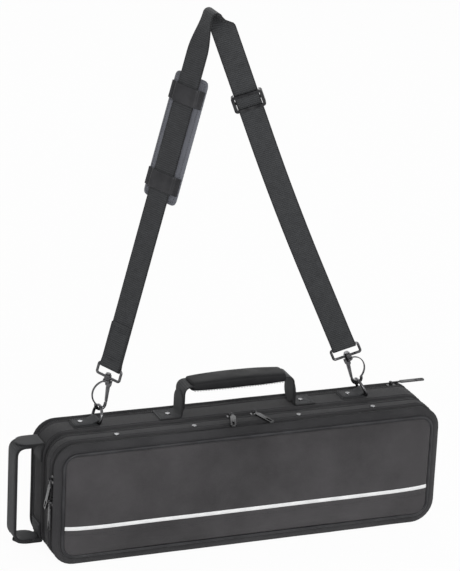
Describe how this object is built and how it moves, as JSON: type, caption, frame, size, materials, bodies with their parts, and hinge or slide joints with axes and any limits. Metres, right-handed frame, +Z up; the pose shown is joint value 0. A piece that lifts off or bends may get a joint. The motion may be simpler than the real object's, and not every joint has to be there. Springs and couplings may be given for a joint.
{
  "type": "flute case",
  "caption": "Soft zipped flute case with fitted tray, front and rear pockets, carry handle, end handle and a clip-on shoulder strap with pad.",
  "frame": {"origin": "The middle of the face that the rear shell stands on, at floor level.", "axes": "X along the case with the end handle at -X, Y from the front pocket to the rear pocket, Z up."},
  "size_m": [0.46, 0.0846, 0.5524],
  "materials": {
    "case_fabric": "woven black polyester over foam",
    "panel_fabric": "coarser charcoal weave, lightly crowned",
    "lining": "short-pile lining",
    "zip_tape": "coil zip on woven tape",
    "webbing": "cross-ribbed woven webbing",
    "piping": "smooth leatherette piping",
    "grip_leatherette": "grained leatherette",
    "pad_fabric": "smooth padded fabric",
    "reflective": "pale reflective tape",
    "dark_metal": "satin gunmetal",
    "bright_metal": "polished"
  },
  "bodies": {
    "base": {"rear_shell": "case_fabric", "flute_tray": "lining", "hinge_tape": "lining", "main_zip_rear": "zip_tape", "rear_zip_inner": "zip_tape", "rear_rivets": "bright_metal", "ring_tab_left": "webbing", "ring_tab_right": "webbing", "handle_feet": "webbing", "end_handle_feet": "webbing"},
    "lid": {"lid_shell": "case_fabric", "lid_pad": "lining", "main_zip_front": "zip_tape", "pocket_zip_inner": "zip_tape", "front_rivets": "bright_metal"},
    "pocket": {"pocket_flap": "case_fabric", "pocket_panel": "panel_fabric", "pocket_piping": "piping", "pocket_stripe": "reflective", "pocket_zip_outer": "zip_tape"},
    "rear_pocket": {"rear_pocket_panel": "case_fabric", "rear_zip_outer": "zip_tape"},
    "handle": {"handle_webbing": "webbing", "handle_grip": "grip_leatherette"},
    "end_handle": {"end_handle_loop": "webbing"},
    "strap": {"strap_webbing": "webbing", "strap_adjuster": "dark_metal", "hook_eye_left": "dark_metal", "hook_eye_right": "dark_metal"},
    "pad": {"pad_body": "pad_fabric", "pad_bands": "grip_leatherette"},
    "main_slider_left_body": {"main_slider_left": "dark_metal"},
    "main_slider_right_body": {"main_slider_right": "dark_metal"},
    "rear_slider_body": {"rear_slider": "dark_metal"},
    "pocket_slider_upper_body": {"pocket_slider_upper": "dark_metal"},
    "pocket_slider_lower_body": {"pocket_slider_lower": "dark_metal"},
    "main_pull_left_body": {"main_pull_left": "dark_metal"},
    "main_pull_right_body": {"main_pull_right": "dark_metal"},
    "rear_pull_body": {"rear_pull": "dark_metal"},
    "pocket_pull_upper_body": {"pocket_pull_upper": "dark_metal"},
    "pocket_pull_lower_body": {"pocket_pull_lower": "dark_metal"},
    "ring_left": {"d_ring_left": "dark_metal"},
    "hook_left": {"snap_hook_left": "dark_metal"},
    "gate_left": {"hook_gate_left": "dark_metal"},
    "ring_right": {"d_ring_right": "dark_metal"},
    "hook_right": {"snap_hook_right": "dark_metal"},
    "gate_right": {"hook_gate_right": "dark_metal"}
  },
  "joints": [
    {"name": "lid_open", "type": "hinge", "parent": "base", "child": "lid", "pos_m": [0, -0.0055, 0], "axis": [1, 0, 0], "range_deg": [0, 160]},
    {"name": "pocket_open", "type": "hinge", "parent": "lid", "child": "pocket", "pos_m": [0, -0.02715, 0], "axis": [1, 0, 0], "range_deg": [0, 60]},
    {"name": "rear_pocket_open", "type": "hinge", "parent": "base", "child": "rear_pocket", "pos_m": [0, 0.02815, 0], "axis": [-1, 0, 0], "range_deg": [0, 30]},
    {"name": "main_slide_left", "type": "slide", "parent": "base", "child": "main_slider_left_body", "axis": [1, 0, 0], "range_m": [-0.165, 0.008]},
    {"name": "main_slide_right", "type": "slide", "parent": "base", "child": "main_slider_right_body", "axis": [1, 0, 0], "range_m": [-0.008, 0.161]},
    {"name": "rear_slide", "type": "slide", "parent": "base", "child": "rear_slider_body", "axis": [1, 0, 0], "range_m": [-0.35, 0]},
    {"name": "pocket_slide_upper", "type": "slide", "parent": "lid", "child": "pocket_slider_upper_body", "axis": [0, 0, 1], "range_m": [-0.003, 0.008]},
    {"name": "pocket_slide_lower", "type": "slide", "parent": "lid", "child": "pocket_slider_lower_body", "axis": [0, 0, 1], "range_m": [-0.037, 0.003]},
    {"name": "main_pull_left_lift", "type": "hinge", "parent": "main_slider_left_body", "child": "main_pull_left_body", "pos_m": [-0.011, -0.0055, 0.1317], "axis": [-1, 0, 0], "range_deg": [0, 95]},
    {"name": "main_pull_right_lift", "type": "hinge", "parent": "main_slider_right_body", "child": "main_pull_right_body", "pos_m": [0.015, -0.0055, 0.1317], "axis": [-1, 0, 0], "range_deg": [0, 95]},
    {"name": "rear_pull_lift", "type": "hinge", "parent": "rear_slider_body", "child": "rear_pull_body", "pos_m": [0.184, 0.0315, 0.1317], "axis": [0, -1, 0], "range_deg": [0, 150]},
    {"name": "pocket_pull_upper_lift", "type": "hinge", "parent": "pocket_slider_upper_body", "child": "pocket_pull_upper_body", "pos_m": [-0.2117, -0.0305, 0.093], "axis": [0, 1, 0], "range_deg": [0, 120]},
    {"name": "pocket_pull_lower_lift", "type": "hinge", "parent": "pocket_slider_lower_body", "child": "pocket_pull_lower_body", "pos_m": [-0.2117, -0.0305, 0.069], "axis": [0, 1, 0], "range_deg": [0, 120]},
    {"name": "handle_fold", "type": "hinge", "parent": "base", "child": "handle", "pos_m": [0, 0.013, 0.1443], "axis": [-1, 0, 0], "range_deg": [-65, 65], "stiffness_Nm_per_rad": 0.05},
    {"name": "end_handle_swing", "type": "hinge", "parent": "base", "child": "end_handle", "pos_m": [-0.2228, 0.013, 0.065], "axis": [0, 0, 1], "range_deg": [-60, 60], "stiffness_Nm_per_rad": 0.03},
    {"name": "strap_swing", "type": "hinge", "parent": "base", "child": "strap", "pos_m": [-0.00387, 0.013, 0.13684], "axis": [1, 0, -0.0009], "range_deg": [-30, 30]},
    {"name": "ring_left_lean", "type": "hinge", "parent": "base", "child": "ring_left", "pos_m": [-0.15, 0.013, 0.13308], "axis": [0, 1, 0], "range_deg": [-1.5, 1.5]},
    {"name": "hook_left_swivel", "type": "hinge", "parent": "strap", "child": "hook_left", "pos_m": [-0.13897, 0.013, 0.17836], "axis": [0.2368, 0, 0.9716], "range_deg": [-15, 15]},
    {"name": "gate_left_open", "type": "hinge", "parent": "hook_left", "child": "gate_left", "pos_m": [-0.13822, 0.013, 0.17045], "axis": [0, 1, 0], "range_deg": [0, 20], "stiffness_Nm_per_rad": 0.01, "springref_deg": -17.19},
    {"name": "ring_right_lean", "type": "hinge", "parent": "base", "child": "ring_right", "pos_m": [0.143, 0.013, 0.13308], "axis": [0, 1, 0], "range_deg": [-1.5, 1.5]},
    {"name": "hook_right_swivel", "type": "hinge", "parent": "strap", "child": "hook_right", "pos_m": [0.12331, 0.013, 0.17532], "axis": [-0.4226, 0, 0.9063], "range_deg": [-15, 15]},
    {"name": "gate_right_open", "type": "hinge", "parent": "hook_right", "child": "gate_right", "pos_m": [0.12412, 0.013, 0.16742], "axis": [0, -1, 0], "range_deg": [0, 20], "stiffness_Nm_per_rad": 0.01, "springref_deg": -17.19},
    {"name": "pad_slide", "type": "slide", "parent": "strap", "child": "pad", "axis": [0.2368, 0, 0.9716], "range_m": [-0.12, 0.02]}
  ]
}
